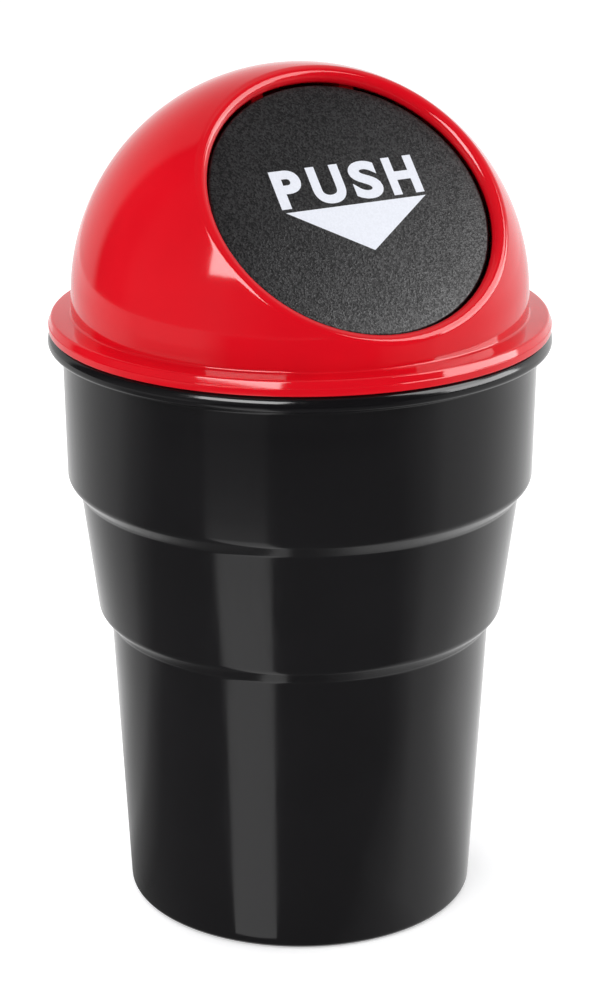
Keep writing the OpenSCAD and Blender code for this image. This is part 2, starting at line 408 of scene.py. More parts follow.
# Materials -------------------------------------------------------------------------------------

MIDDLE = {"From Min": 0.3, "From Max": 0.7}  # where most of a noise pattern's values lie
WIDE_MIDDLE = {"From Min": 0.25, "From Max": 0.75}


def add_node(tree, kind, settings=None):
    """Adds a node, sets its properties and sockets, and links those given an output or a node."""
    node = tree.nodes.new(kind)
    for key, value in (settings or {}).items():
        if isinstance(value, bpy.types.Node):
            value = value.outputs[0]
        if isinstance(value, bpy.types.NodeSocket):
            tree.links.new(value, node.inputs[key])
        elif isinstance(key, str) and hasattr(node, key):
            setattr(node, key, value)
        else:
            node.inputs[key].default_value = value
    return node


def new_material(name):
    """An empty material and its node tree."""
    material = bpy.data.materials.new(name)
    material.use_nodes = True
    material.node_tree.nodes.clear()
    return material, material.node_tree


def set_stops(ramp, stops):
    """Gives a colour ramp its stops, each a position from 0 to 1 and a grey level."""
    marks = ramp.elements
    marks[0].position, marks[1].position = stops[0][0], stops[-1][0]
    for at, _ in stops[1:-1]:
        marks.new(at)
    for mark, (_, level) in zip(marks, stops):
        mark.color = (level, level, level, 1)


def varied(tree, base, pattern, low, high, values=MIDDLE):
    """A colour that a pattern makes darker and lighter, by factors from low to high."""
    factor = add_node(
        tree, "ShaderNodeMapRange", {**values, "Value": pattern, "To Min": low, "To Max": high})
    return add_node(tree, "ShaderNodeVectorMath", {"operation": "SCALE", 0: base, "Scale": factor})


def gloss_moulded_red():
    """Red ABS, injection moulded in a polished tool: deep colour, clear and slightly wavy gloss."""
    material, tree = new_material("gloss_moulded_red_abs")
    at = add_node(tree, "ShaderNodeTexCoord").outputs["Object"]
    # Pigment drifts a little over the width of a thumb as the melt flows
    flow = add_node(
        tree, "ShaderNodeTexNoise", {"Vector": at, "Scale": 1 / (22 * MM), "Detail": 3.0})
    tint = varied(tree, bpy.context.scene.bin_finish.red, flow, 0.94, 1.06)
    # Handling leaves the gloss a little duller in patches
    wiped = add_node(
        tree, "ShaderNodeTexNoise",
        {"Vector": at, "Scale": 1 / (14 * MM), "Detail": 4.0, "Roughness": 0.6})
    rough = add_node(
        tree, "ShaderNodeMapRange", {**MIDDLE, "Value": wiped, "To Min": 0.06, "To Max": 0.10})
    # Shrinkage waves, and specks of dust as fine as the picture can show
    wave = add_node(
        tree, "ShaderNodeTexNoise", {"Vector": at, "Scale": 1 / (7 * MM), "Detail": 1.0})
    speck = add_node(tree, "ShaderNodeTexNoise", {"Vector": at, "Scale": 1 / (0.5 * MM)})
    bumps = add_node(
        tree, "ShaderNodeBump", {"Strength": 1.0, "Distance": 0.018 * MM, "Height": wave})
    fine = add_node(
        tree, "ShaderNodeBump",
        {"Strength": 1.0, "Distance": 0.0008 * MM, "Height": speck, "Normal": bumps})
    shader = add_node(
        tree, "ShaderNodeBsdfPrincipled",
        {"IOR": 1.5, "Metallic": 0.0, "Base Color": tint, "Roughness": rough, "Normal": fine})
    add_node(tree, "ShaderNodeOutputMaterial", {"Surface": shader})
    return material


def satin_moulded_black():
    """Black polypropylene, injection moulded: satin gloss with faint draw lines down the wall."""
    material, tree = new_material("satin_moulded_black_pp")
    at = add_node(tree, "ShaderNodeTexCoord").outputs["Object"]
    # The tool's polishing runs down the wall, so the pattern is stretched along Z
    drawn = add_node(tree, "ShaderNodeMapping", {"Vector": at, "Scale": (1.0, 1.0, 0.06)})
    lines = add_node(
        tree, "ShaderNodeTexNoise", {"Vector": drawn, "Scale": 1 / (0.9 * MM), "Detail": 3.0})
    rough = add_node(
        tree, "ShaderNodeMapRange", {**MIDDLE, "Value": lines, "To Min": 0.11, "To Max": 0.17})
    # Carbon black clouds a little as the melt flows
    cloud = add_node(
        tree, "ShaderNodeTexNoise", {"Vector": at, "Scale": 1 / (16 * MM), "Detail": 3.0})
    tint = varied(tree, bpy.context.scene.bin_finish.black, cloud, 0.9, 1.1)
    wave = add_node(
        tree, "ShaderNodeTexNoise", {"Vector": at, "Scale": 1 / (9 * MM), "Detail": 1.0})
    bumps = add_node(
        tree, "ShaderNodeBump", {"Strength": 1.0, "Distance": 0.010 * MM, "Height": wave})
    fine = add_node(
        tree, "ShaderNodeBump",
        {"Strength": 1.0, "Distance": 0.0012 * MM, "Height": lines, "Normal": bumps})
    shader = add_node(
        tree, "ShaderNodeBsdfPrincipled",
        {"IOR": 1.49, "Metallic": 0.0, "Base Color": tint, "Roughness": rough, "Normal": fine})
    add_node(tree, "ShaderNodeOutputMaterial", {"Surface": shader})
    return material


def eroded_grain(tree, at, depth):
    """Grain of a spark-eroded tool: pebbles 0.3 mm wide as bumps, and a random value for each
    pebble.
    """
    pebble = add_node(
        tree, "ShaderNodeTexVoronoi", {"feature": "F1", "Vector": at, "Scale": 1 / (0.3 * MM)})
    pits = add_node(
        tree, "ShaderNodeTexNoise",
        {"Vector": at, "Scale": 1 / (0.35 * MM), "Detail": 3.0, "Roughness": 0.6})
    height = add_node(
        tree, "ShaderNodeMath", {"operation": "MULTIPLY_ADD", 0: pebble, 1: 0.5, 2: pits})
    bumps = add_node(tree, "ShaderNodeBump", {"Strength": 1.0, "Distance": depth, "Height": height})
    return bumps, pebble.outputs["Color"]


def grained_black():
    """Black ABS, moulded in a spark-eroded tool: even matt grain that glints towards a light."""
    material, tree = new_material("spark_grained_black_abs")
    at = add_node(tree, "ShaderNodeTexCoord").outputs["Object"]
    normal, pebbles = eroded_grain(tree, at, 0.045 * MM)
    # Each pebble's colour and specular level vary at random; the lighter and darker colour is
    # painted glints, for how each pebble catches the light
    tint = varied(tree, bpy.context.scene.bin_finish.charcoal, pebbles, 0.5, 1.5, WIDE_MIDDLE)
    glint = add_node(
        tree, "ShaderNodeMapRange", {**MIDDLE, "Value": pebbles, "To Min": 0.32, "To Max": 0.66})
    cloud = add_node(
        tree, "ShaderNodeTexNoise", {"Vector": at, "Scale": 1 / (11 * MM), "Detail": 3.0})
    rough = add_node(
        tree, "ShaderNodeMapRange", {**MIDDLE, "Value": cloud, "To Min": 0.29, "To Max": 0.34})
    shader = add_node(
        tree, "ShaderNodeBsdfPrincipled",
        {"IOR": 1.5, "Metallic": 0.0, "Base Color": tint, "Roughness": rough,
         "Specular IOR Level": glint, "Normal": normal})
    add_node(tree, "ShaderNodeOutputMaterial", {"Surface": shader})
    return material


def printed_white():
    """White pad-printing ink, a few hundredths thick: it lies on the grain and half fills it."""
    material, tree = new_material("pad_printed_white_ink")
    at = add_node(tree, "ShaderNodeTexCoord").outputs["Object"]
    normal, pebbles = eroded_grain(tree, at, 0.012 * MM)
    tint = varied(tree, bpy.context.scene.bin_finish.white, pebbles, 0.95, 1.0, WIDE_MIDDLE)
    # The pad leaves the ink a little drier in spots
    mottle = add_node(
        tree, "ShaderNodeTexNoise", {"Vector": at, "Scale": 1 / (1.2 * MM), "Detail": 3.0})
    rough = add_node(
        tree, "ShaderNodeMapRange", {**MIDDLE, "Value": mottle, "To Min": 0.38, "To Max": 0.5})
    shader = add_node(
        tree, "ShaderNodeBsdfPrincipled",
        {"IOR": 1.5, "Specular IOR Level": 0.4, "Metallic": 0.0, "Base Color": tint,
         "Roughness": rough, "Normal": normal})
    add_node(tree, "ShaderNodeOutputMaterial", {"Surface": shader})
    return material


def steel(name, base, grain, depth, smoothness):
    """Steel with fine marks of the given width and depth."""
    material, tree = new_material(name)
    at = add_node(tree, "ShaderNodeTexCoord").outputs["Object"]
    marks = add_node(tree, "ShaderNodeTexNoise", {"Vector": at, "Scale": 1 / grain, "Detail": 3.0})
    tint = varied(tree, base, marks, 0.88, 1.06)
    rough = add_node(
        tree, "ShaderNodeMapRange",
        {**MIDDLE, "Value": marks, "To Min": smoothness, "To Max": smoothness + 0.12})
    bumps = add_node(tree, "ShaderNodeBump", {"Strength": 1.0, "Distance": depth, "Height": marks})
    shader = add_node(
        tree, "ShaderNodeBsdfPrincipled",
        {"Metallic": 1.0, "Base Color": tint, "Roughness": rough, "Normal": bumps})
    add_node(tree, "ShaderNodeOutputMaterial", {"Surface": shader})
    return material


def drawn_steel():
    """Bright drawn steel rod, cut to length: a soft metal shine with fine marks."""
    base = bpy.context.scene.bin_finish.steel
    return steel("drawn_steel_rod", base, 0.25 * MM, 0.002 * MM, 0.22)


def spring_steel():
    """Polished spring wire: brighter and smoother than the pin."""
    base = bpy.context.scene.bin_finish.wire
    return steel("polished_spring_wire", base, 0.2 * MM, 0.001 * MM, 0.16)


# Pieces ----------------------------------------------------------------------------------------

class BIN_OT_cup(bpy.types.Operator):
    """Models the stepped cup as one wall, lathed from its outline"""

    bl_idname = "bin.cup"
    bl_label = "Cup"
    bl_options = {"REGISTER", "UNDO"}

    def execute(self, context):
        s = context.scene.bin_cup
        top = RIM_R - s.bead_out
        top_low = top - s.top_taper
        mid_top = top_low - s.step_out
        mid_low = mid_top - s.mid_taper
        low_top = mid_low - s.step_out
        base = low_top - s.low_taper
        foot = base - s.foot_w
        bead = CUP_H - s.bead_h
        skew = s.wall * math.tan(math.atan2(s.step_out, s.step_rise) / 2)
        # Each corner is a radius, a height and a rounding
        outside = [
            (0, s.recess, 0),
            (foot - 0.6 * MM, s.recess, 0.5 * MM),
            (foot, 0, 0.4 * MM),
            (base, 0, 1.5 * MM),
            (low_top, s.low_step, 1 * MM),
            (mid_low, s.low_step + s.step_rise, s.step_round),
            (mid_top, s.high_step, 1 * MM),
            (top_low, s.high_step + s.step_rise, s.step_round),
            (top, bead - 0.8 * MM, 0.6 * MM),
            (RIM_R, bead, 0.34 * s.bead_h),
            (RIM_R, CUP_H, 0.65 * s.bead_h),
        ]
        inside = [
            (top - s.wall, CUP_H, 0.5 * MM),
            (top_low - s.wall, s.high_step + s.step_rise + skew, 0.5 * MM),
            (mid_top - s.wall, s.high_step + skew, 2.6 * MM),
            (mid_low - s.wall, s.low_step + s.step_rise + skew, 0.5 * MM),
            (low_top - s.wall, s.low_step + skew, 2.6 * MM),
            (base - s.wall, s.floor, 2.4 * MM),
            (0, s.floor, 0),
        ]
        cup = lathe("cup_moulding", refined(rounded(outside + inside), 4 * MM))
        smooth(cup)
        finish_piece(cup, "bin", "cup", satin_moulded_black())
        return {"FINISHED"}


def open_edges(piece, wanted):
    """Selects the edges with one face whose two ends pass a test."""
    faces = {}
    for polygon in piece.data.polygons:
        for key in polygon.edge_keys:
            faces[key] = faces.get(key, 0) + 1
    points = [v.co.copy() for v in piece.data.vertices]
    select_only(piece, edges=[
        edge.index for edge in piece.data.edges
        if faces.get(edge.key, 0) == 1 and all(wanted(points[i]) for i in edge.vertices)])


def bridge_on_sphere(piece, centre, radius, between, cuts):
    """Bridges the two open circles that lie on a sphere, and presses the new rings onto it."""
    open_edges(piece, lambda p: abs((p - centre).length - radius) < between)
    known = len(piece.data.vertices)
    activate(piece)
    bpy.ops.object.mode_set(mode="EDIT")
    bpy.ops.mesh.select_mode(type="EDGE")
    bpy.ops.mesh.bridge_edge_loops(number_cuts=cuts, interpolation="LINEAR")
    bpy.ops.mesh.select_mode(type="VERT")
    bpy.ops.object.mode_set(mode="OBJECT")
    for v in piece.data.vertices[known:]:
        v.co = centre + (v.co - centre).normalized() * radius


class BIN_OT_lid(bpy.types.Operator):
    """Models the domed lid: flange and lip are lathed, and the dome is bridged between them"""

    bl_idname = "bin.lid"
    bl_label = "Lid"
    bl_options = {"REGISTER", "UNDO"}

    def execute(self, context):
        cup, s, f = context.scene.bin_cup, context.scene.bin_lid, context.scene.bin_flap
        o = Opening(context.scene)
        spigot = RIM_R - cup.bead_out - cup.wall - s.spigot_gap
        flange_top = CUP_H + s.flange_h
        edge = RIM_R - s.flange_in
        top_edge = edge - s.band_step - s.lean
        root = flange_top + (top_edge - o.dome_r) * math.tan(s.flange_slope)
        band = CUP_H + s.band_h
        flange = [
            (o.dome_r, o.dome_z, 0),
            (o.dome_r, root, 0.4 * MM),
            (top_edge, flange_top, 0.5 * MM),
            (edge - s.band_step, band + s.band_step, 0.05 * MM),
            (edge, band, 0.1 * MM),
            (edge, CUP_H, 0.3 * MM),
            (spigot, CUP_H, 0.3 * MM),
            (spigot, CUP_H - s.spigot_h, 0.5 * MM),
            (o.inner_r, CUP_H - s.spigot_h, 0.3 * MM),
            (o.inner_r, o.dome_z, 0),
        ]
        lid = lathe("lid_moulding", refined(rounded(flange), 2 * MM))
        arc_steps = 32
        contact = Vector((math.sin(o.lip_angle), math.cos(o.lip_angle))) * o.dome_r
        centre = Vector((o.lip_r, o.lip_z))
        sweep = 1.5 * math.pi - math.atan2(o.lip_z, o.lip_r)
        turns = [Matrix.Rotation(sweep * i / arc_steps, 2) for i in range(arc_steps + 1)]
        lip = [centre + turn @ (contact - centre) for turn in turns]
        collar_z = math.sqrt(o.inner_r ** 2 - o.collar_r ** 2)
        back = rounded([
            (o.lip_r, o.lip_z - s.lip, 0),
            (o.lip_r, o.back_z, 0.2 * MM),
            (o.collar_r, o.back_z, 0.25 * MM),
            (o.collar_r, collar_z, 0),
        ])
        rim = lathe("lip_moulding", refined(lip + back[1:], 1 * MM))
        place(rim, o.matrix)
        activate(lid)
        rim.select_set(True)
        bpy.ops.object.join()
        middle = Vector((0, 0, o.dome_z))
        bridge_on_sphere(lid, middle, o.dome_r, 0.05 * MM, 72)
        bridge_on_sphere(lid, middle, o.inner_r, 0.05 * MM, 48)
        tidy_faces(lid)
        for side in (-1, 1):
            boolean(lid, self.lug(o, s, f, side), "UNION")
        smooth(lid)
        finish_piece(lid, "lid", "lid_dome", gloss_moulded_red())
        return {"FINISHED"}

    def lug(self, o, s, f, side):
        """The lug that holds one end of the pin: a boss, and a foot that grows from the dome."""
        boss = f.hinge_drop - HINGE_GAP
        side_r = boss - CLEAR
        near = f.room + f.ear + SIDE_GAP
        far = near + f.lug
        in_wall = math.sqrt((o.dome_r - s.wall / 2) ** 2 - far ** 2)
        collar_y = math.sqrt(o.lip_r ** 2 - near ** 2) + 0.2 * MM
        top, low = o.back_z + 1 * MM, o.pin_z - 3 * MM
        outline = [
            (o.pin_y, o.pin_z + side_r),
            (collar_y, o.pin_z + side_r),
            (collar_y, top),
            (math.sqrt(in_wall ** 2 - top ** 2), top),
            (math.sqrt(in_wall ** 2 - low ** 2), low),
            (o.pin_y + 6 * MM, low),
            (o.pin_y, o.pin_z - side_r),
        ]
        middle = (side * (near + far) / 2, o.pin_y, o.pin_z)
        start = min(side * near, side * far)
        lug = slab("lug", [(start, y, z) for y, z in outline], (f.lug, 0, 0))
        boolean(lug, rod("boss", boss, f.lug - 2 * CLEAR, middle), "UNION")
        boolean(lug, rod("bore", HELD_R, 2 * f.lug, middle, 48), "DIFFERENCE")
        return place(lug, o.matrix)


class BIN_OT_flap(bpy.types.Operator):
    """Models the flap: a lathed plate with a skirt, two ears, two stop heels and a tab"""

    bl_idname = "bin.flap"
    bl_label = "Flap"
    bl_options = {"REGISTER", "UNDO"}

    def execute(self, context):
        f = context.scene.bin_flap
        o = Opening(context.scene)
        plate = [
            (0, o.back_z, 0),
            (o.flap_r - f.skirt_t, o.back_z, 0.2 * MM),
            (o.flap_r - f.skirt_t, o.back_z - f.skirt_h, 0.3 * MM),
            (o.flap_r, o.back_z - f.skirt_h, 0.3 * MM),
            (o.flap_r, o.face_z, f.edge),
            (0, o.face_z, 0),
        ]
        flap = lathe("flap_moulding", refined(rounded(plate), 6 * MM))
        # The skirt is left out where the ears, the lugs and the ends of the pin stand
        half = f.room + f.ear + SIDE_GAP + f.lug + 2.5 * MM
        notch_low = (-half, o.pin_y - 4 * MM, o.back_z - f.skirt_h - 1 * MM)
        notch_high = (half, o.pin_y + 6 * MM, o.back_z + CLEAR)
        boolean(flap, block("notch", notch_low, notch_high), "DIFFERENCE")
        for side in (-1, 1):
            boolean(flap, self.ear(o, f, side), "UNION")
        boolean(flap, self.tab(o, f), "UNION")
        place(flap, o.matrix)
        smooth(flap)
        finish_piece(flap, "flap", "push_flap", grained_black())
        return {"FINISHED"}

    def ear(self, o, f, side):
        """One hinge ear with the heel that meets the lip's collar when the flap is fully in."""
        boss = f.hinge_drop - HINGE_GAP
        middle = side * (f.room + f.ear / 2)
        low, high = middle - f.ear / 2, middle + f.ear / 2
        tip = Vector((math.sqrt(o.lip_r ** 2 - (f.room + f.ear) ** 2) - o.pin_y + 0.8 * MM, boss))
        ear = rod("ear", boss, f.ear, (middle, o.pin_y, o.pin_z))
        neck_low = (low + CLEAR, o.pin_y - boss + CLEAR, o.pin_z)
        neck_high = (high - CLEAR, o.pin_y + boss - CLEAR, o.pin_z + f.hinge_drop + f.face / 2)
        boolean(ear, block("neck", neck_low, neck_high), "UNION")
        heel = block("heel", (low + 2 * CLEAR, 0, -1.4 * MM), (high - 2 * CLEAR, tip.length, 0))
        turn = Matrix.Rotation(math.atan2(tip.y, tip.x) - SWING, 4, "X")
        place(heel, Matrix.Translation((0, o.pin_y, o.pin_z)) @ turn)
        boolean(ear, heel, "UNION")
        bore = rod("bore", FREE_R, 4 * f.ear, (middle, o.pin_y, o.pin_z), 48)
        boolean(ear, bore, "DIFFERENCE")
        return ear

    def tab(self, o, f):
        """The tab that stops the flap at shut, behind the lip's collar."""
        inner = o.flap_r - f.skirt_t / 2
        outer = o.lip_r + 0.85 * MM
        top = o.back_z - 0.15 * MM
        low = top - 1.2 * MM
        ring = [(inner, low, 0), (outer, low, 0.2 * MM), (outer, top, 0.2 * MM), (inner, top, 0)]
        tab = lathe("tab", rounded(ring, steps=3), closed=True)
        # Half a step round, so that its edges don't meet the skirt's
        place(tab, Matrix.Rotation(math.pi / AROUND, 4, "Z"))
        keep_x = inner * math.sin(math.radians(16))
        keep = block("keep", (-keep_x, -outer - MM, top - 2 * MM), (keep_x, 0, top + MM))
        return boolean(tab, keep, "INTERSECT")


class BIN_OT_pin(bpy.types.Operator):
    """Models the hinge pin with chamfered ends"""

    bl_idname = "bin.pin"
    bl_label = "Hinge pin"
    bl_options = {"REGISTER", "UNDO"}

    def execute(self, context):
        o = Opening(context.scene)
        length = PIN_HIGH.x - PIN_LOW.x
        pin = rod("pin_rod", PIN_R, length, (0, o.pin_y, o.pin_z), 48)
        activate(pin)
        bevel = pin.modifiers.new("Chamfer", "BEVEL")
        bevel.width = 0.2 * MM
        bevel.segments = 2
        bpy.ops.object.modifier_apply(modifier=bevel.name)
        place(pin, o.matrix)
        smooth(pin)
        finish_piece(pin, "lid", "hinge_pin", drawn_steel())
        return {"FINISHED"}


class BIN_OT_spring(bpy.types.Operator):
    """Models the torsion spring round the pin as one swept wire"""

    bl_idname = "bin.spring"
    bl_label = "Return spring"
    bl_options = {"REGISTER", "UNDO"}

    def execute(self, context):
        f = context.scene.bin_flap
        o = Opening(context.scene)
        coil_r = 1.35 * MM + f.wire / 2
        start = math.radians(80)
        turn = 2 * math.pi * f.coils + math.pi / 2 - start
        length = f.pitch * turn / (2 * math.pi)
        origin = Vector((0, o.pin_y, o.pin_z))

        def coil(a):
            along = (a - start) / turn * length - length / 2
            return origin + Vector((along, coil_r * math.cos(a), coil_r * math.sin(a)))

        def tangent(a):
            return Vector((0, -math.sin(a), math.cos(a)))

        first = coil(start)
        back = tangent(start)
        flat = Vector((0, first.y, first.z))
        reach = o.inner_r - f.wire / 2 - 0.15 * MM
        along = -flat.dot(back)
        fixed_leg = math.sqrt(along ** 2 - flat.dot(flat) + reach ** 2) - along
        steps = 36 * f.coils
        points = [first - back * fixed_leg]
        points += [coil(start + turn * i / steps) for i in range(steps + 1)]
        points.append(coil(start + turn) + tangent(start + turn) * f.leg)
        curve = bpy.data.curves.new("spring_wire", "CURVE")
        curve.dimensions = "3D"
        curve.bevel_depth = f.wire / 2
        curve.bevel_resolution = 4
        curve.use_fill_caps = True
        spline = curve.splines.new("POLY")
        spline.points.add(len(points) - 1)
        for point, at in zip(spline.points, points):
            point.co = (*at, 1)
        spring = bpy.data.objects.new("spring_wire", curve)
        context.scene.collection.objects.link(spring)
        activate(spring)
        bpy.ops.object.convert(target="MESH")
        spring = named("spring_wire")
        place(spring, o.matrix)
        tidy_faces(spring, 0.0005 * MM)
        smooth(spring, 60)
        spring.data.materials.clear()
        spring.data.materials.append(spring_steel())
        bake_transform(spring)
        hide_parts("return_spring")
        return {"FINISHED"}


class BIN_OT_print(bpy.types.Operator):
    """Models the printed word and its arrow as a thin layer of ink on the flap"""

    bl_idname = "bin.print"
    bl_label = "Print"
    bl_options = {"REGISTER", "UNDO"}

    def execute(self, context):
        f = context.scene.bin_flap
        o = Opening(context.scene)
        ink = 0.04 * MM
        foot = 1.15 * MM
        turn = Matrix.Rotation(math.radians(1.15), 4, "Z")
        on_face = o.matrix @ Matrix.Translation((0, 0, o.face_z)) @ turn
        material = printed_white()
        # Left and right side of each letter, in millimetres from the middle of the opening
        spans = ((-12.3, -7.1), (-5.5, 0.5), (2.0, 7.35), (8.8, 14.5))
        for letter, (left, right) in zip("PUSH", spans):
            printed = self.letter(letter, left * MM, right * MM, foot, f.letters, ink)
            place(printed, on_face)
            finish_piece(printed, "flap", None, material)
        left, right, tip = (-11.8, 0.45), (14.4, 0.45), (1.35, -8.65)
        corners = [(x * MM, y * MM, 0) for x, y in (left, right, tip)]
        arrow = slab("print_arrow", corners, (0, 0, ink))
        place(arrow, on_face)
        finish_piece(arrow, "flap", None, material)
        return {"FINISHED"}

    def letter(self, letter, left, right, foot, tall, ink):
        """One plain block letter, drawn to its own width and height."""
        deselect()
        bpy.ops.object.text_add(location=(0, 0, 0))
        drawn = named("print_" + letter)
        drawn.data.body = letter
        drawn.data.size = 10 * MM
        drawn.data.offset = 0.42 * MM
        drawn.data.extrude = ink / 2
        drawn.data.resolution_u = 8
        bpy.ops.object.convert(target="MESH")
        drawn = named("print_" + letter)
        low = Vector([min(v.co[i] for v in drawn.data.vertices) for i in range(3)])
        high = Vector([max(v.co[i] for v in drawn.data.vertices) for i in range(3)])
        grow = Matrix.Diagonal(((right - left) / (high.x - low.x), tall / (high.y - low.y), 1, 1))
        return place(drawn, Matrix.Translation((left, foot, 0)) @ grow @ Matrix.Translation(-low))


# Stage -----------------------------------------------------------------------------------------

WHITE = (1, 1, 1, 1)
VIEW = -26.0  # azimuth that the camera looks from, in degrees
# Glow of the tent round the bin, a painted reflection, at azimuths from the camera's: dark in front
# and pale behind the bin
TENT_STOPS = (
    (-180, 1.05), (-150, 0.75), (-124, 0.6), (-118, 0.03), (-98, 0.05), (-88, 0.15), (-40, 0.2),
    (-28, 0.1), (-12, 0.02), (50, 0.02), (90, 0.3), (110, 1.1), (150, 1.3), (180, 1.05))
# Glow of the mat, a painted reflection of the floor, at millimetres behind the edge of the dark in
# front of the bin
MAT_STOPS = ((-35, 0.0), (-30, 0.1), (-10, 0.33), (0, 0.55), (25, 0.7), (45, 0.92), (70, 1.1))


def direction(azimuth, elevation):
    """Unit vector from the bin: azimuth 0 is towards -Y and 90 towards +X, in degrees."""
    a, e = math.radians(azimuth), math.radians(elevation)
    return Vector((math.sin(a) * math.cos(e), -math.cos(a) * math.cos(e), math.sin(e)))


def softbox(name, azimuth, elevation, distance, wide, tall, light, mirrored, aim=(0, 0, 0.1)):
    """A soft lamp turned to a point, sized in degrees, and a glowing face, no lamp, that only gloss
    mirrors: a painted highlight with its own brightness.
    """
    across = 2 * distance * math.tan(math.radians(wide / 2))
    up = 2 * distance * math.tan(math.radians(tall / 2))
    spot = Vector(aim) + direction(azimuth, elevation) * distance
    turn = (spot - Vector(aim)).to_track_quat("Z", "Y").to_euler()
    if light:
        lamp = bpy.data.lights.new(name, "AREA")
        lamp.shape = "RECTANGLE"
        lamp.size = across
        lamp.size_y = up
        lamp.energy = light * math.pi * across * up
        box = bpy.data.objects.new(name, lamp)
        bpy.context.scene.collection.objects.link(box)
        box.location = spot
        box.rotation_euler = turn
        box.visible_camera = False
        box.visible_glossy = False
    # The face is a painted highlight: it glows for gloss alone and lights nothing
    if mirrored:
        deselect()
        bpy.ops.mesh.primitive_plane_add(size=1, location=spot, rotation=turn)
        face = named(name + "_face")
        face.scale = (across, up, 1)
        bpy.ops.object.transform_apply(location=True, rotation=True, scale=True)
        painted_reflection_panel(face, lambda tree: mirrored)


def painted_reflection_panel(panel, level):
    """Makes a glowing panel, no lamp, that only gloss mirrors: a painted reflection, as bright as a
    function of its node tree says.
    """
    material, tree = new_material(panel.name)
    glow = add_node(tree, "ShaderNodeEmission", {"Color": WHITE, "Strength": level(tree)})
    add_node(tree, "ShaderNodeOutputMaterial", {"Surface": glow})
    panel.data.materials.append(material)
    panel.visible_camera = False
    panel.visible_diffuse = False
    panel.visible_transmission = False
    panel.visible_shadow = False


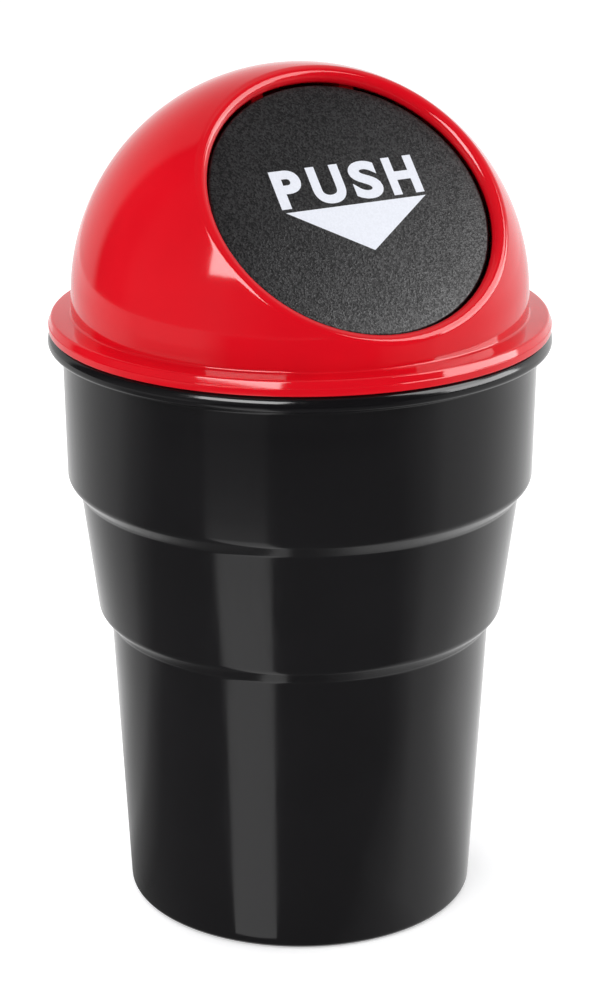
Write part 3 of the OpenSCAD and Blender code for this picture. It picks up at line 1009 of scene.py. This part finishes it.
class BIN_OT_stage(bpy.types.Operator):
    """Sets the pale floor, the soft studio light and the camera"""

    bl_idname = "bin.stage"
    bl_label = "Stage"
    bl_options = {"REGISTER", "UNDO"}

    def execute(self, context):
        scene = context.scene
        self.floor(scene)
        self.world(scene)
        softbox(
            "key_softbox", azimuth=VIEW - 27.5, elevation=32.3, distance=0.75, wide=36, tall=24.6,
            light=3.3, mirrored=10.0)
        softbox(
            "right_softbox", azimuth=VIEW + 89, elevation=17, distance=0.75, wide=44, tall=28,
            light=2.6, mirrored=7.0)
        softbox(
            "back_softbox", azimuth=VIEW - 134, elevation=24, distance=0.75, wide=46, tall=30,
            light=2.8, mirrored=0.0)
        # Close by, for the flap's sheen alone: a glowing face and no lamp, which paints that sheen
        softbox(
            "flap_painted_sheen", azimuth=VIEW + 76, elevation=33, distance=0.15, wide=36, tall=36,
            light=0.0, mirrored=5.3, aim=(0, -0.0192, 0.1307))
        self.surroundings()
        self.camera(scene)
        scene.view_settings.view_transform = "Standard"
        return {"FINISHED"}

    def floor(self, scene):
        """A wide, plain, pale floor, which looks white and keeps the bin's shadow."""
        deselect()
        bpy.ops.mesh.primitive_circle_add(vertices=64, radius=12, fill_type="NGON")
        floor = named("studio_floor")
        material, tree = new_material("matt_pale_floor")
        matt = add_node(
            tree, "ShaderNodeBsdfDiffuse",
            {"Color": (*scene.bin_finish.floor, 1.0), "Roughness": 0.0})
        glow = add_node(
            tree, "ShaderNodeEmission", {"Color": WHITE, "Strength": self.seen(tree, 0.0, 0.36)})
        both = add_node(tree, "ShaderNodeAddShader", {0: matt, 1: glow})
        add_node(tree, "ShaderNodeOutputMaterial", {"Surface": both})
        floor.data.materials.append(material)

    def seen(self, tree, otherwise, level):
        """One level where a surface is seen, mirrored or seen through, another for its light."""
        path = add_node(tree, "ShaderNodeLightPath").outputs
        camera_or_gloss = add_node(
            tree, "ShaderNodeMath",
            {"operation": "MAXIMUM", 0: path["Is Camera Ray"], 1: path["Is Glossy Ray"]})
        any_of_them = add_node(
            tree, "ShaderNodeMath",
            {"operation": "MAXIMUM", 0: camera_or_gloss, 1: path["Is Transmission Ray"]})
        return add_node(
            tree, "ShaderNodeMapRange",
            {"Value": any_of_them, "To Min": otherwise, "To Max": level})

    def world(self, scene):
        """Even pale light from all round, white where it is seen or mirrored."""
        world = bpy.data.worlds.new("studio_surround")
        scene.world = world
        world.use_nodes = True
        tree = world.node_tree
        tree.nodes.clear()
        light = add_node(
            tree, "ShaderNodeBackground", {"Color": WHITE, "Strength": self.seen(tree, 0.74, 1.0)})
        add_node(tree, "ShaderNodeOutputWorld", {"Surface": light})

    def surroundings(self):
        """Painted reflections of the studio, on glowing panels that only gloss mirrors: a tent, a
        mat on the floor and a pale strip on it.
        """
        deselect()
        bpy.ops.mesh.primitive_uv_sphere_add(segments=72, ring_count=36, radius=0.9)
        tent = named("studio_tent")
        self.leave_out(tent, lambda centre: centre.z < 0)
        painted_reflection_panel(tent, self.tent_level)
        mat = lathe("studio_mat", [Vector((0.031, 0.0004)), Vector((0.88, 0.0004))], steps=72)
        painted_reflection_panel(mat, self.mat_level)
        deselect()
        bpy.ops.mesh.primitive_plane_add(size=1)
        strip = named("studio_strip")
        # Its sides start at the bin's foot at one azimuth and run off at another
        sides = ((-22.7, -46, 0.0), (-8.0, -15.5, 0.0), (-22.7, -46, 0.32), (-8.0, -15.5, 0.32))
        for v, (near, away, reach) in zip(strip.data.vertices, sides):
            v.co = direction(VIEW + near, 0) * 0.033 + direction(VIEW + away, 0) * reach
            v.co.z = 0.0008
        painted_reflection_panel(strip, self.strip_level)

    def place_in_view(self, tree):
        """Each point's X to the right, Y away from the camera and Z, and its azimuth from it."""
        at = add_node(tree, "ShaderNodeTexCoord").outputs["Object"]
        turned = add_node(
            tree, "ShaderNodeMapping", {"Vector": at, "Rotation": (0, 0, math.radians(-VIEW))})
        x, y, z = add_node(tree, "ShaderNodeSeparateXYZ", {"Vector": turned}).outputs
        nearer = add_node(tree, "ShaderNodeMath", {"operation": "MULTIPLY", 0: y, 1: -1.0})
        azimuth = add_node(tree, "ShaderNodeMath", {"operation": "ARCTAN2", 0: x, 1: nearer})
        return x, y, z, azimuth

    def tent_level(self, tree):
        """Glow of the tent, a painted reflection round the bin: pale behind it, dark in front, and
        dimmer higher up.
        """
        _, _, height, azimuth = self.place_in_view(tree)
        around = add_node(
            tree, "ShaderNodeMapRange",
            {"Value": azimuth, "From Min": -math.pi, "From Max": math.pi})
        level = add_node(tree, "ShaderNodeValToRGB", {"Fac": around})
        set_stops(level.color_ramp, [((az + 180) / 360, each) for az, each in TENT_STOPS])
        fall = add_node(
            tree, "ShaderNodeMapRange",
            {"Value": height, "From Min": 0.2, "From Max": 0.62, "To Min": 1.0, "To Max": 0.45})
        dimmed = add_node(tree, "ShaderNodeMath", {"operation": "MULTIPLY", 0: level, 1: fall})
        above = add_node(
            tree, "ShaderNodeMapRange",
            {"Value": height, "From Min": 0.72, "From Max": 0.82, "To Max": 0.12})
        return add_node(tree, "ShaderNodeMath", {"operation": "MAXIMUM", 0: dimmed, 1: above})

    def mat_level(self, tree):
        """Glow of the mat near the bin, a painted reflection of the floor: dark in front of it and
        pale behind.
        """
        x, y, _, azimuth = self.place_in_view(tree)
        flat = add_node(tree, "ShaderNodeCombineXYZ", {"X": x, "Y": y})
        away = add_node(
            tree, "ShaderNodeVectorMath", {"operation": "LENGTH", 0: flat}).outputs["Value"]
        # The dark ends at a line across the view, which slopes off to the right
        start = add_node(
            tree, "ShaderNodeMapRange",
            {"Value": x, "From Min": -30 * MM, "From Max": 30 * MM, "To Min": -15 * MM,
             "To Max": 18.7 * MM})
        right = add_node(tree, "ShaderNodeMath", {"operation": "MAXIMUM", 0: x, 1: 0.0})
        slope = add_node(tree, "ShaderNodeMath", {"operation": "MULTIPLY", 0: right, 1: 0.304})
        from_start = add_node(tree, "ShaderNodeMath", {"operation": "ADD", 0: y, 1: start})
        line = add_node(tree, "ShaderNodeMath", {"operation": "ADD", 0: from_start, 1: slope})
        # The change from dark to pale is wider further off
        wider = add_node(
            tree, "ShaderNodeMapRange",
            {"Value": away, "From Min": 0.105, "From Max": 0.555, "To Min": 1.0, "To Max": 10.0})
        across = add_node(tree, "ShaderNodeMath", {"operation": "DIVIDE", 0: line, 1: wider})
        along = add_node(
            tree, "ShaderNodeMapRange",
            {"Value": across, "From Min": -50 * MM, "From Max": 100 * MM})
        level = add_node(tree, "ShaderNodeValToRGB", {"Fac": along})
        set_stops(level.color_ramp, [((at + 50) / 150, each) for at, each in MAT_STOPS])
        # Near the bin no part of the mat's painted reflection is quite black
        close = add_node(
            tree, "ShaderNodeMapRange",
            {"Value": away, "From Min": 0.30, "From Max": 0.36, "To Min": 0.15, "To Max": 0.0})
        near = add_node(tree, "ShaderNodeMath", {"operation": "MAXIMUM", 0: level, 1: close})
        # Further off, the mat glows again on the left, a painted reflection of lit floor
        left = add_node(
            tree, "ShaderNodeMapRange",
            {"Value": azimuth, "From Min": math.radians(-48), "From Max": math.radians(-33),
             "To Min": 1.0, "To Max": 0.0})
        far = add_node(
            tree, "ShaderNodeMapRange",
            {"Value": away, "From Min": 0.33, "From Max": 0.46, "To Max": 0.45})
        lit = add_node(tree, "ShaderNodeMath", {"operation": "MULTIPLY", 0: left, 1: far})
        return add_node(tree, "ShaderNodeMath", {"operation": "MAXIMUM", 0: near, 1: lit})

    def strip_level(self, tree):
        """Glow of the strip, a painted reflection, which fades with the distance from the bin."""
        at = add_node(tree, "ShaderNodeTexCoord").outputs["Object"]
        away = add_node(tree, "ShaderNodeVectorMath", {"operation": "LENGTH", 0: at})
        return add_node(
            tree, "ShaderNodeMapRange",
            {"Value": away.outputs["Value"], "From Min": 0.13, "From Max": 0.28, "To Min": 1.1,
             "To Max": 0.22})

    def leave_out(self, piece, wanted):
        """Removes the faces whose middles pass a test."""
        activate(piece)
        select_only(piece, faces=[p.index for p in piece.data.polygons if wanted(p.center)])
        bpy.ops.object.mode_set(mode="EDIT")
        bpy.ops.mesh.select_mode(type="FACE")
        bpy.ops.mesh.delete(type="FACE")
        bpy.ops.mesh.select_mode(type="VERT")
        bpy.ops.object.mode_set(mode="OBJECT")

    def camera(self, scene):
        """Camera at the photograph's angle, distance and focal length."""
        data = bpy.data.cameras.new("studio_camera")
        data.sensor_width = 36
        data.lens = 103.95
        data.clip_end = 50
        camera = bpy.data.objects.new("studio_camera", data)
        scene.collection.objects.link(camera)
        pivot = Vector((0, 0, 75.9 * MM))
        aim = Vector((0, 0, 73.4 * MM))
        camera.location = pivot + direction(VIEW, 18.83) * 513.4 * MM
        camera.rotation_euler = (camera.location - aim).to_track_quat("Z", "Y").to_euler()
        scene.camera = camera


class BIN_PT_panel(bpy.types.Panel):
    """Lists the sizes and colours, and a button for each piece"""

    bl_idname = "BIN_PT_panel"
    bl_label = "Push Top Bin"
    bl_space_type = "VIEW_3D"
    bl_region_type = "UI"
    bl_category = "Push Bin"

    def draw(self, context):
        for name in GROUPS:
            box = self.layout.box()
            group = getattr(context.scene, name)
            for key in group.bl_rna.properties.keys():
                if key not in ("rna_type", "name"):
                    box.prop(group, key)
        for operator in OPERATORS:
            self.layout.operator(operator.bl_idname)


OPERATORS = (
    BIN_OT_cup, BIN_OT_lid, BIN_OT_flap, BIN_OT_pin, BIN_OT_spring, BIN_OT_print, BIN_OT_stage,
)
CLASSES = (*GROUPS.values(), *OPERATORS, BIN_PT_panel)


def register():
    for each in CLASSES:
        bpy.utils.register_class(each)
    for name, group in GROUPS.items():
        setattr(bpy.types.Scene, name, bpy.props.PointerProperty(type=group))


def unregister():
    for name in GROUPS:
        delattr(bpy.types.Scene, name)
    for each in reversed(CLASSES):
        bpy.utils.unregister_class(each)


def main():
    register()
    for operator in OPERATORS:
        group, name = operator.bl_idname.split(".")
        getattr(getattr(bpy.ops, group), name)()


if __name__ == "__main__":
    main()
